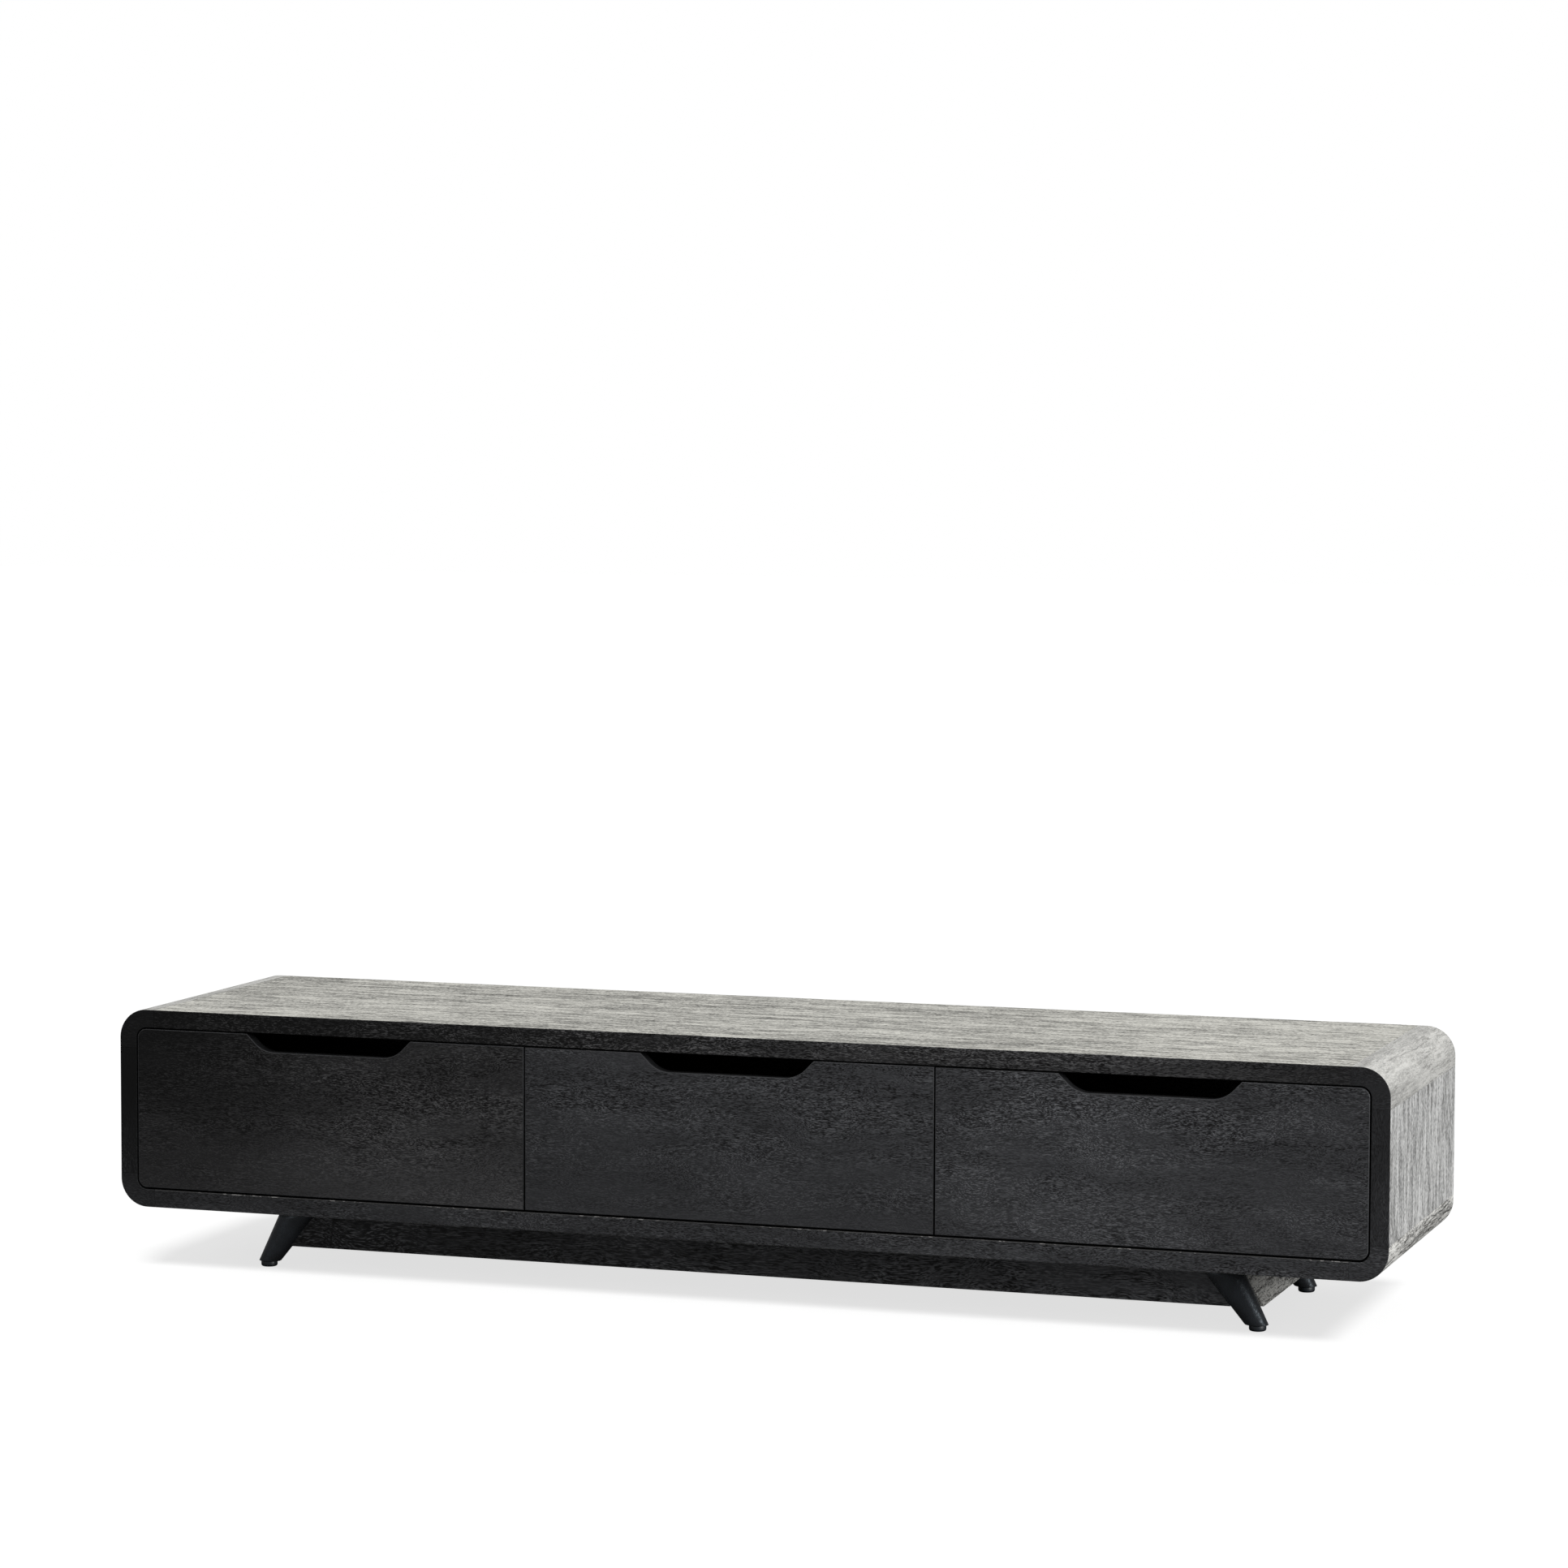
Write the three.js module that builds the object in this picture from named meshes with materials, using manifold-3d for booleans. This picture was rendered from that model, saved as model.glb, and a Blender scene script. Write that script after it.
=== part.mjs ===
// Low three-drawer dresser: a rounded board carcase on a raked-leg base,
// with three inset drawers on ball-bearing runners.
//
// Millimetres, +Z up. X runs along the length, the drawers open towards -Y,
// and the origin is on the floor under the middle of the dresser.

import * as THREE from 'three';
import { mergeVertices } from 'three/addons/utils/BufferGeometryUtils.js';
import Module from 'manifold-3d';

const wasm = await Module();
wasm.setup();

// ---------------------------------------------------------------- dimensions

// Carcase.
const LENGTH = 1800;
const DEPTH = 444;
const CARCASE_HEIGHT = 278;
const CARCASE_FLOOR_GAP = 88;
const WALL = 25;
const OUTER_RADIUS = 40;
const INNER_RADIUS = 15;
const CORNER_ARM = 52;
const CORNER_TOP_RISE = 54;
const CORNER_BOTTOM_RISE = 47;
const DIVIDER_THICKNESS = 18;
const BACK_THICKNESS = 8;
const BACK_INSET = 8;
const JOINT_GAP = 0.3;

// Drawer fronts, with the finger pull cut into the top edge.
const DRAWERS = 3;
const FRONT_THICKNESS = 18;
const FRONT_GAP = 2;
const FRONT_FOOT_GAP = 2.8;
const PULL_WIDTH = 246;
const PULL_DEPTH = 24.5;
const PULL_ROUND = 42;
const PULL_SLANT = Math.PI / 4;

// Drawer boxes, with the bottom held in a groove.
const BOX_WALL = 12;
const BOX_LENGTH = 370;
const BOX_HEIGHT = 160;
const BOX_LIFT = 15;
const BOX_BOTTOM_THICKNESS = 6;
const GROOVE_LIFT = 10;
const GROOVE_DEPTH = 5.2;
const GROOVE_PLAY = 0.2;

// Ball-bearing runners: three nested channels a side.
const RUNNER_LENGTH = 350;
const RUNNER_SPACE = 13;
const RUNNER_START = 8;
const RUNNER_LIFT = 60;
const RUNNER_STEEL = 1.2;
const RUNNER_FIT = 0.15;
const RUNNER_LIP = 11;
const RUNNER_HALF_HEIGHT = 22.5;
const BALL_GAP = 2.5;
const MIDDLE_WEB = 3.2;
const DRAWER_LIP = 6.4;

// Base: raked, tapered round legs joined by four aprons, set a little nearer
// the back of the carcase than its front.
const BASE_Y = 8.5;
const LEG_TOP_X = 660;
const LEG_Y_FROM_MIDDLE = 148.5;
const LEG_RAKE = 0.635;
const LEG_TOP_RADIUS = 24.8;
const LEG_END_RADIUS = 13.3;
const LEG_END_HEIGHT = 8;
const LEG_SIDES = 48;
const APRON_DEPTH = 57;
const APRON_THICKNESS = 20;
const APRON_PROUD = 6;
const SIDE_APRON_PROUD = 17.5;
const APRON_STOP = 8;
const GLIDE_RADIUS = 11.5;
const GLIDE_ROUND = 3;
const GLIDE_STEM_RADIUS = 3;
const GLIDE_STEM_LENGTH = 14;
const STEM_PLAY = 0.3;
const GLIDE_SIDES = 32;

// Worked out from the above.
const HALF_LENGTH = LENGTH / 2;
const FRONT_Y = -DEPTH / 2;
const BACK_Y = DEPTH / 2;
const OPENING_HALF = HALF_LENGTH - WALL;
const FRONT_WIDTH = (2 * OPENING_HALF - (DRAWERS + 1) * FRONT_GAP) / DRAWERS;
const FRONT_PITCH = FRONT_WIDTH + FRONT_GAP;
const FRONT_BOTTOM = WALL + FRONT_FOOT_GAP;
const FRONT_TOP = CARCASE_HEIGHT - WALL - FRONT_GAP;
const FRONT_BACK_Y = FRONT_Y + FRONT_THICKNESS;
const BACK_PANEL_Y = BACK_Y - BACK_INSET - BACK_THICKNESS;
const BOX_FRONT_Y = FRONT_BACK_Y + JOINT_GAP;
const BOX_BACK_Y = BOX_FRONT_Y + BOX_LENGTH;
const BOX_BASE = WALL + BOX_LIFT;
const RUNNER_FRONT_Y = BOX_FRONT_Y + RUNNER_START;
const RUNNER_Z = BOX_BASE + RUNNER_LIFT;

// ----------------------------------------------------------------- materials

function material(color, roughness, metalness) {
  return new THREE.MeshStandardMaterial({ color, roughness, metalness });
}

const GREY_WASH = material(0xa8a6a1, 0.6, 0);
const BLACK_STAIN = material(0x2b2b2d, 0.55, 0);
const BLACK_LACQUER = material(0x1f2226, 0.35, 0);
const BOX_WOOD = material(0x38332e, 0.6, 0);
const ZINC_STEEL = material(0xb6b9bd, 0.35, 1);
const GLIDE_PLASTIC = material(0x1c1d1f, 0.5, 0);

// ------------------------------------------------------------------- helpers

function mesh(name, geometry, look) {
  const piece = new THREE.Mesh(geometry, look);
  piece.name = name;
  return piece;
}

// A plain board between two limits on each axis.
function board(name, look, [x0, x1], [y0, y1], [z0, z1]) {
  const piece = mesh(name, new THREE.BoxGeometry(x1 - x0, y1 - y0, z1 - z0), look);
  piece.position.set((x0 + x1) / 2, (y0 + y1) / 2, (z0 + z1) / 2);
  return piece;
}

// An outline of [x, z] points carried along Y.
function extrudeAlongY(points, y0, y1) {
  const shape = new THREE.Shape(points.map(([x, z]) => new THREE.Vector2(x, z)));
  const geometry = new THREE.ExtrudeGeometry(shape, { depth: y1 - y0, bevelEnabled: false });
  geometry.rotateX(Math.PI / 2);
  geometry.translate(0, y1, 0);
  return geometry;
}

// An outline of [y, z] points carried along X.
function extrudeAlongX(points, x0, x1) {
  const shape = new THREE.Shape(points.map(([y, z]) => new THREE.Vector2(y, z)));
  const geometry = new THREE.ExtrudeGeometry(shape, { depth: x1 - x0, bevelEnabled: false });
  const turn = new THREE.Matrix4().makeBasis(
    new THREE.Vector3(0, 1, 0),
    new THREE.Vector3(0, 0, 1),
    new THREE.Vector3(1, 0, 0),
  );
  geometry.applyMatrix4(turn);
  geometry.translate(x0, 0, 0);
  return geometry;
}

// Points on an arc about (x, z) from one angle to another, both ends included.
function arc(x, z, radius, start, end, steps) {
  const points = [];
  for (let i = 0; i <= steps; i += 1) {
    const angle = start + (end - start) * (i / steps);
    points.push([x + radius * Math.cos(angle), z + radius * Math.sin(angle)]);
  }
  return points;
}

function toSolid(geometry) {
  const bare = geometry.clone();
  bare.deleteAttribute('normal');
  bare.deleteAttribute('uv');
  const welded = mergeVertices(bare);
  return new wasm.Manifold(new wasm.Mesh({
    numProp: 3,
    vertProperties: new Float32Array(welded.attributes.position.array),
    triVerts: new Uint32Array(welded.index.array),
  }));
}

function toGeometry(solid) {
  const { vertProperties, triVerts } = solid.getMesh();
  const geometry = new THREE.BufferGeometry();
  geometry.setAttribute('position', new THREE.BufferAttribute(vertProperties, 3));
  geometry.setIndex(new THREE.BufferAttribute(triVerts, 1));
  geometry.computeVertexNormals();
  return geometry;
}

const SIDES = [['left', -1], ['right', 1]];
const ENDS = [['front', -1], ['back', 1]];
const LEVELS = [['bottom', -1], ['top', 1]];

// ------------------------------------------------------------------- carcase

// One arm runs along the top or bottom, the other along the side. The outer
// corner is round and the inner one has a fillet.
function cornerBlock(name, sideSign, levelSign) {
  const fillet = WALL + INNER_RADIUS;
  const rise = levelSign > 0 ? CORNER_TOP_RISE : CORNER_BOTTOM_RISE;
  const outline = [
    [CORNER_ARM, 0],
    [CORNER_ARM, WALL],
    ...arc(fillet, fillet, INNER_RADIUS, 1.5 * Math.PI, Math.PI, 8),
    [WALL, rise],
    [0, rise],
    ...arc(OUTER_RADIUS, OUTER_RADIUS, OUTER_RADIUS, Math.PI, 1.5 * Math.PI, 16),
  ];
  const placed = outline.map(([inwards, upwards]) => [
    sideSign * (HALF_LENGTH - inwards),
    levelSign > 0 ? CARCASE_HEIGHT - upwards : upwards,
  ]);
  return mesh(name, extrudeAlongY(placed, FRONT_Y, BACK_Y), GREY_WASH);
}

// The back fills the opening between the four walls and follows its fillets.
function backPanel() {
  const radius = INNER_RADIUS - JOINT_GAP;
  const x = OPENING_HALF - JOINT_GAP - radius;
  const low = WALL + JOINT_GAP + radius;
  const high = CARCASE_HEIGHT - low;
  const quarter = Math.PI / 2;
  const outline = [
    ...arc(x, low, radius, -quarter, 0, 6),
    ...arc(x, high, radius, 0, quarter, 6),
    ...arc(-x, high, radius, quarter, 2 * quarter, 6),
    ...arc(-x, low, radius, 2 * quarter, 3 * quarter, 6),
  ];
  const geometry = extrudeAlongY(outline, BACK_PANEL_Y, BACK_PANEL_Y + BACK_THICKNESS);
  return mesh('back_panel', geometry, BLACK_STAIN);
}

function makeCarcase() {
  const group = new THREE.Group();
  const half = JOINT_GAP / 2;
  const flatX = HALF_LENGTH - CORNER_ARM - half;
  const fullY = [FRONT_Y, BACK_Y];
  group.add(board('bottom_panel', GREY_WASH, [-flatX, flatX], fullY, [0, WALL]));
  group.add(board('top_panel', GREY_WASH, [-flatX, flatX], fullY,
    [CARCASE_HEIGHT - WALL, CARCASE_HEIGHT]));
  for (const [side, sign] of SIDES) {
    const outer = sign * HALF_LENGTH;
    const inner = sign * OPENING_HALF;
    const wallX = [Math.min(outer, inner), Math.max(outer, inner)];
    const wallZ = [CORNER_BOTTOM_RISE + half, CARCASE_HEIGHT - CORNER_TOP_RISE - half];
    group.add(board(`side_panel_${side}`, GREY_WASH, wallX, fullY, wallZ));
    for (const [level, levelSign] of LEVELS) {
      group.add(cornerBlock(`corner_block_${level}_${side}`, sign, levelSign));
    }
    const middle = sign * FRONT_PITCH / 2;
    group.add(board(`divider_${side}`, BLACK_STAIN,
      [middle - DIVIDER_THICKNESS / 2, middle + DIVIDER_THICKNESS / 2],
      [FRONT_BACK_Y + FRONT_GAP, BACK_PANEL_Y - JOINT_GAP],
      [WALL + JOINT_GAP, CARCASE_HEIGHT - WALL - JOINT_GAP]));
  }
  group.add(backPanel());
  group.position.z = CARCASE_FLOOR_GAP;
  return group;
}

// ---------------------------------------------------------------------- base

// X of the leg's axis at a height above the floor, on the +X side.
function legAxisX(height) {
  return LEG_TOP_X + LEG_RAKE * (CARCASE_FLOOR_GAP - height);
}

function legAxisY(endSign) {
  return BASE_Y + endSign * LEG_Y_FROM_MIDDLE;
}

// A cone along the raked axis, longer than the leg at both ends. The extra
// radius makes the larger cone that the aprons are scribed to.
function legCone(sideSign, endSign, extraRadius) {
  const rise = CARCASE_FLOOR_GAP - LEG_END_HEIGHT;
  const slant = Math.hypot(1, LEG_RAKE);
  const overrun = 24;
  const flare = (LEG_TOP_RADIUS - LEG_END_RADIUS) / rise;
  const topRadius = LEG_TOP_RADIUS + flare * overrun + extraRadius;
  const endRadius = LEG_END_RADIUS - flare * overrun + extraRadius;
  const length = (rise + 2 * overrun) * slant;
  const geometry = new THREE.CylinderGeometry(topRadius, endRadius, length, LEG_SIDES);
  const axis = new THREE.Vector3(-sideSign * LEG_RAKE, 0, 1).normalize();
  const turn = new THREE.Quaternion().setFromUnitVectors(new THREE.Vector3(0, 1, 0), axis);
  geometry.applyQuaternion(turn);
  const middle = (CARCASE_FLOOR_GAP + LEG_END_HEIGHT) / 2;
  geometry.translate(sideSign * legAxisX(middle), legAxisY(endSign), middle);
  return toSolid(geometry);
}

// The stem of a glide, or the hole it is driven into.
function stem(sideSign, endSign, radius, length) {
  const overrun = 2;
  const geometry = new THREE.CylinderGeometry(radius, radius, length + overrun, GLIDE_SIDES / 2);
  geometry.rotateX(Math.PI / 2);
  geometry.translate(
    sideSign * legAxisX(LEG_END_HEIGHT), legAxisY(endSign),
    LEG_END_HEIGHT + (length - overrun) / 2,
  );
  return toSolid(geometry);
}

// The cone cut level at the carcase and just above the floor.
function leg(name, sideSign, endSign) {
  const height = CARCASE_FLOOR_GAP - JOINT_GAP - LEG_END_HEIGHT;
  const reach = 6 * LEG_TOP_RADIUS;
  const slab = new THREE.BoxGeometry(reach, reach, height);
  const middle = LEG_END_HEIGHT + height / 2;
  slab.translate(sideSign * legAxisX(middle), legAxisY(endSign), middle);
  const hole = stem(sideSign, endSign, GLIDE_STEM_RADIUS + STEM_PLAY,
    GLIDE_STEM_LENGTH + STEM_PLAY);
  const solid = legCone(sideSign, endSign, 0).intersect(toSolid(slab)).subtract(hole);
  return mesh(name, toGeometry(solid), BLACK_LACQUER);
}

// A turned glide: a flat foot with a rounded rim, and the stem in the leg.
function glide(name, sideSign, endSign) {
  const top = LEG_END_HEIGHT - JOINT_GAP;
  const rim = arc(GLIDE_RADIUS - GLIDE_ROUND, GLIDE_ROUND, GLIDE_ROUND, -Math.PI / 2, 0, 4);
  const profile = [
    [0, 0],
    ...rim,
    [GLIDE_RADIUS, top],
    [GLIDE_STEM_RADIUS, top],
    [GLIDE_STEM_RADIUS, LEG_END_HEIGHT + GLIDE_STEM_LENGTH],
    [0, LEG_END_HEIGHT + GLIDE_STEM_LENGTH],
  ].map(([r, z]) => new THREE.Vector2(r, z));
  const geometry = new THREE.LatheGeometry(profile, GLIDE_SIDES);
  geometry.rotateX(Math.PI / 2);
  const piece = mesh(name, geometry, GLIDE_PLASTIC);
  piece.position.set(sideSign * legAxisX(LEG_END_HEIGHT), legAxisY(endSign), 0);
  return piece;
}

const APRON_TOP = CARCASE_FLOOR_GAP - JOINT_GAP;
const APRON_BOTTOM = CARCASE_FLOOR_GAP - APRON_DEPTH;

// An upright board along X whose ends follow the rake and are scribed to the legs.
function longApron(end, endSign) {
  const endX = (height) => legAxisX(height) - APRON_STOP;
  const outline = [
    [-endX(APRON_BOTTOM), APRON_BOTTOM],
    [endX(APRON_BOTTOM), APRON_BOTTOM],
    [endX(APRON_TOP), APRON_TOP],
    [-endX(APRON_TOP), APRON_TOP],
  ];
  const outerY = legAxisY(endSign) + endSign * APRON_PROUD;
  const innerY = outerY - endSign * APRON_THICKNESS;
  const body = extrudeAlongY(outline, Math.min(outerY, innerY), Math.max(outerY, innerY));
  let solid = toSolid(body);
  for (const [, sideSign] of SIDES) {
    solid = solid.subtract(legCone(sideSign, endSign, JOINT_GAP));
  }
  return mesh(`apron_${end}`, toGeometry(solid), BLACK_STAIN);
}

// A board along Y that leans at the legs' rake, scribed to the two legs.
function sideApron(side, sideSign) {
  const slant = Math.hypot(1, LEG_RAKE);
  const outerX = (height) => legAxisX(height) + SIDE_APRON_PROUD * slant;
  const innerX = (height) => outerX(height) - APRON_THICKNESS * slant;
  const outline = [
    [innerX(APRON_BOTTOM), APRON_BOTTOM],
    [outerX(APRON_BOTTOM), APRON_BOTTOM],
    [outerX(APRON_TOP), APRON_TOP],
    [innerX(APRON_TOP), APRON_TOP],
  ].map(([x, z]) => [sideSign * x, z]);
  const stop = LEG_Y_FROM_MIDDLE - APRON_STOP;
  let solid = toSolid(extrudeAlongY(outline, BASE_Y - stop, BASE_Y + stop));
  for (const [, endSign] of ENDS) {
    solid = solid.subtract(legCone(sideSign, endSign, JOINT_GAP));
  }
  return mesh(`apron_${side}`, toGeometry(solid), GREY_WASH);
}

function makeBase() {
  const group = new THREE.Group();
  for (const [end, endSign] of ENDS) {
    group.add(longApron(end, endSign));
  }
  for (const [side, sideSign] of SIDES) {
    group.add(sideApron(side, sideSign));
    for (const [end, endSign] of ENDS) {
      group.add(leg(`leg_${end}_${side}`, sideSign, endSign));
      group.add(glide(`glide_${end}_${side}`, sideSign, endSign));
    }
  }
  return group;
}

// ------------------------------------------------------------------- drawers

// One bay: the clear space between its two walls, and the drawer's place.
function makeBays() {
  const dividerFace = FRONT_PITCH / 2 - DIVIDER_THICKNESS / 2;
  const outerFace = dividerFace + DIVIDER_THICKNESS;
  return [
    { name: 'left', index: -1, x0: -OPENING_HALF, x1: -outerFace },
    { name: 'centre', index: 0, x0: -dividerFace, x1: dividerFace },
    { name: 'right', index: 1, x0: outerFace, x1: OPENING_HALF },
  ];
}

// Half of the finger pull, from its middle outwards: a flat floor that turns
// up through a wide curve into a straight slant.
function pullOutline(centreX, outwards) {
  const slantRun = PULL_ROUND * Math.sin(PULL_SLANT);
  const slantRise = PULL_DEPTH - PULL_ROUND * (1 - Math.cos(PULL_SLANT));
  const curveX = PULL_WIDTH / 2 - slantRise / Math.tan(PULL_SLANT) - slantRun;
  const floor = FRONT_TOP - PULL_DEPTH;
  const start = -Math.PI / 2;
  const points = arc(curveX, floor + PULL_ROUND, PULL_ROUND, start, start + PULL_SLANT, 8);
  points.push([PULL_WIDTH / 2, FRONT_TOP]);
  return points.map(([x, z]) => [centreX + outwards * x, z]);
}

// A drawer front. Its outer corners are rounded on the two end drawers, where
// the opening has its fillets, and square on the sides that meet a neighbour.
function drawerFront(bay) {
  const centreX = bay.index * FRONT_PITCH;
  const left = centreX - FRONT_WIDTH / 2;
  const right = centreX + FRONT_WIDTH / 2;
  const radius = INNER_RADIUS - FRONT_GAP;
  const quarter = Math.PI / 2;
  const corner = (x, z, inX, inZ, start, round) => (round
    ? arc(x + inX * radius, z + inZ * radius, radius, start, start + quarter, 6)
    : [[x, z]]);
  const roundLeft = bay.index < 0;
  const roundRight = bay.index > 0;
  const outline = [
    ...corner(left, FRONT_BOTTOM, 1, 1, 2 * quarter, roundLeft),
    ...corner(right, FRONT_BOTTOM, -1, 1, 3 * quarter, roundRight),
    ...corner(right, FRONT_TOP, -1, -1, 0, roundRight),
    ...pullOutline(centreX, 1).reverse(),
    ...pullOutline(centreX, -1),
    ...corner(left, FRONT_TOP, 1, -1, quarter, roundLeft),
  ];
  const geometry = extrudeAlongY(outline, FRONT_Y, FRONT_BACK_Y);
  return mesh(`${bay.name}_drawer_front`, geometry, BLACK_STAIN);
}

// Section of a box wall from its outer face (0) to its inner face (inwards is
// the sign of that direction), with the groove for the drawer bottom.
function grooved(outer, inwards) {
  const inner = outer + inwards * BOX_WALL;
  const grooveEnd = inner - inwards * GROOVE_DEPTH;
  const grooveLow = BOX_BASE + GROOVE_LIFT - GROOVE_PLAY;
  const grooveHigh = BOX_BASE + GROOVE_LIFT + BOX_BOTTOM_THICKNESS + GROOVE_PLAY;
  return [
    [outer, BOX_BASE],
    [inner, BOX_BASE],
    [inner, grooveLow],
    [grooveEnd, grooveLow],
    [grooveEnd, grooveHigh],
    [inner, grooveHigh],
    [inner, BOX_BASE + BOX_HEIGHT],
    [outer, BOX_BASE + BOX_HEIGHT],
  ];
}

function drawerBox(bay) {
  const x0 = bay.x0 + RUNNER_SPACE;
  const x1 = bay.x1 - RUNNER_SPACE;
  const wallEnd = BOX_WALL + JOINT_GAP / 2;
  const tongue = BOX_WALL - GROOVE_DEPTH + GROOVE_PLAY;
  const bottomZ = BOX_BASE + GROOVE_LIFT;
  return [
    mesh(`${bay.name}_box_side_left`,
      extrudeAlongY(grooved(x0, 1), BOX_FRONT_Y, BOX_BACK_Y), BOX_WOOD),
    mesh(`${bay.name}_box_side_right`,
      extrudeAlongY(grooved(x1, -1), BOX_FRONT_Y, BOX_BACK_Y), BOX_WOOD),
    mesh(`${bay.name}_box_front`,
      extrudeAlongX(grooved(BOX_FRONT_Y, 1), x0 + wallEnd, x1 - wallEnd), BOX_WOOD),
    mesh(`${bay.name}_box_back`,
      extrudeAlongX(grooved(BOX_BACK_Y, -1), x0 + wallEnd, x1 - wallEnd), BOX_WOOD),
    board(`${bay.name}_box_bottom`, BOX_WOOD, [x0 + tongue, x1 - tongue],
      [BOX_FRONT_Y + tongue, BOX_BACK_Y - tongue], [bottomZ, bottomZ + BOX_BOTTOM_THICKNESS]),
  ];
}

// Section of a folded steel channel: a web, and lips at the top and bottom.
function channel(webX, lipX, halfHeight) {
  const inside = webX + Math.sign(lipX - webX) * RUNNER_STEEL;
  const flange = halfHeight - RUNNER_STEEL;
  return [
    [webX, -halfHeight],
    [lipX, -halfHeight],
    [lipX, -flange],
    [inside, -flange],
    [inside, flange],
    [lipX, flange],
    [lipX, halfHeight],
    [webX, halfHeight],
  ];
}

// The three members of one runner, given the bay wall it is fixed to and the
// direction from that wall to the drawer.
function runner(bay, side, wallX, towardsDrawer) {
  const step = RUNNER_STEEL + BALL_GAP;
  const members = [
    ['cabinet', RUNNER_FIT, RUNNER_LIP, RUNNER_HALF_HEIGHT],
    ['middle', MIDDLE_WEB, RUNNER_LIP, RUNNER_HALF_HEIGHT - step],
    ['drawer', RUNNER_SPACE - RUNNER_FIT, DRAWER_LIP, RUNNER_HALF_HEIGHT - 2 * step],
  ];
  return members.map(([member, web, lip, halfHeight]) => {
    const outline = channel(web, lip, halfHeight)
      .map(([x, z]) => [wallX + towardsDrawer * x, RUNNER_Z + z]);
    const geometry = extrudeAlongY(outline, RUNNER_FRONT_Y, RUNNER_FRONT_Y + RUNNER_LENGTH);
    return mesh(`${bay.name}_runner_${member}_${side}`, geometry, ZINC_STEEL);
  });
}

function makeDrawer(bay) {
  const group = new THREE.Group();
  group.add(drawerFront(bay));
  group.add(...drawerBox(bay));
  group.add(...runner(bay, 'left', bay.x0, 1));
  group.add(...runner(bay, 'right', bay.x1, -1));
  group.position.z = CARCASE_FLOOR_GAP;
  return group;
}

// ------------------------------------------------------------------ assembly

const dresser = new THREE.Group();
dresser.name = 'dresser';
dresser.add(makeCarcase());
dresser.add(makeBase());
for (const bay of makeBays()) {
  dresser.add(makeDrawer(bay));
}

export default dresser;
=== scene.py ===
"""Looks of the low three-drawer dresser: detailed pieces and procedural materials
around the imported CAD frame. Metres, +Z up, the drawers open towards -Y."""

import math

import bmesh
import bpy
from mathutils import Matrix, Vector


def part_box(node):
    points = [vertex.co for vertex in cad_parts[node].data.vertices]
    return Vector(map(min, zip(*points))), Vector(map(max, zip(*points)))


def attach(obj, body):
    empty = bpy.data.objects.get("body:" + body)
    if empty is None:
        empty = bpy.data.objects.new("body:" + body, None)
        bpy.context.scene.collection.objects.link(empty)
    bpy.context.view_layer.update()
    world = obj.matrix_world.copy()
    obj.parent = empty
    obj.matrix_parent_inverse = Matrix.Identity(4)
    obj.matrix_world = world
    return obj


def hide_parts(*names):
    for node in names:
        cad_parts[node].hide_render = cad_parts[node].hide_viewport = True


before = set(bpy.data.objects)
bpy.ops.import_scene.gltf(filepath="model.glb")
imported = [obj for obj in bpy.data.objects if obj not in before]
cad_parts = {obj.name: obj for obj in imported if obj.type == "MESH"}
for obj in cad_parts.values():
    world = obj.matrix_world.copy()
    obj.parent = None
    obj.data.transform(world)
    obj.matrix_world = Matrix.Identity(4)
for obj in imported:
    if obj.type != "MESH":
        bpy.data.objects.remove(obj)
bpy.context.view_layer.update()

# ---------------------------------------------------------------- dimensions

MM = 0.001
EPS = 0.01 * MM

# Edge rounding: exposed edges, and the hairline V where two boards are glued.
ARRIS = 1.1 * MM
JOINT_ARRIS = 0.35 * MM
JOINT_CLOSE = 0.1 * MM
ARRIS_STEPS = 3

# Radii and heights up a pan-head screw of unit radius, and into its drive.
SCREW_HEAD = [(0.96, -0.02), (1.0, 0.08), (0.97, 0.20), (0.84, 0.33), (0.62, 0.42), (0.40, 0.45),
              (0.34, 0.42), (0.22, 0.16), (0.06, 0.12)]

# Screw head radii, and where the screws stand: along the back panel's edges, as
# shares of a box front's width and height, and along a runner from its front.
# RUNNER_STEEL is how thick a runner's channel is.
BACK_SCREW = 4.2 * MM
BACK_SCREW_INSET = 9 * MM
BACK_SCREWS_ACROSS = 9
FRONT_SCREW = 4.0 * MM
FRONT_SCREWS_ACROSS = (0.12, 0.5, 0.88)
FRONT_SCREWS_UP = (0.28, 0.72)
RUNNER_SCREW = 3.6 * MM
RUNNER_SCREWS_AT = (38 * MM, 134 * MM, 262 * MM)
RUNNER_STEEL = 1.2 * MM

# Wood: two veneers of the plywood, one growth ring, and the heights between
# which the figure of a drawer front fades towards its foot.
VENEER_PAIR = 2.7 * MM
RING_WIDTH = 9 * MM
CALM_HEIGHTS = (0.13, 0.27)

# Green and blue in the black stain, for one part of red.
COOL = (1.018, 1.10)
NEUTRAL = (0.99, 1.03)

# Carcase corners.
OUTER_RADIUS = 40 * MM
INNER_RADIUS = 15 * MM
ARC_STEPS = 20

# Finger pull in a drawer front's top edge.
PULL_WIDTH = 246 * MM
PULL_DEPTH = 24.5 * MM
PULL_ROUND = 42 * MM
PULL_SLANT = math.radians(45)
FRONT_CORNER = 13 * MM

# Raked, tapered legs. The levels are shares of the leg's height.
LEG_RAKE = 0.635
LEG_TOP_RADIUS = 24.8 * MM
LEG_END_RADIUS = 13.3 * MM
LEG_END_HEIGHT = 8 * MM
LEG_RIM = 0.7 * MM
LEG_RIM_STEPS = 5
LEG_SIDES = 72
LEG_LEVELS = (0.15, 0.35, 0.6, 0.8, 1.0)

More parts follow.
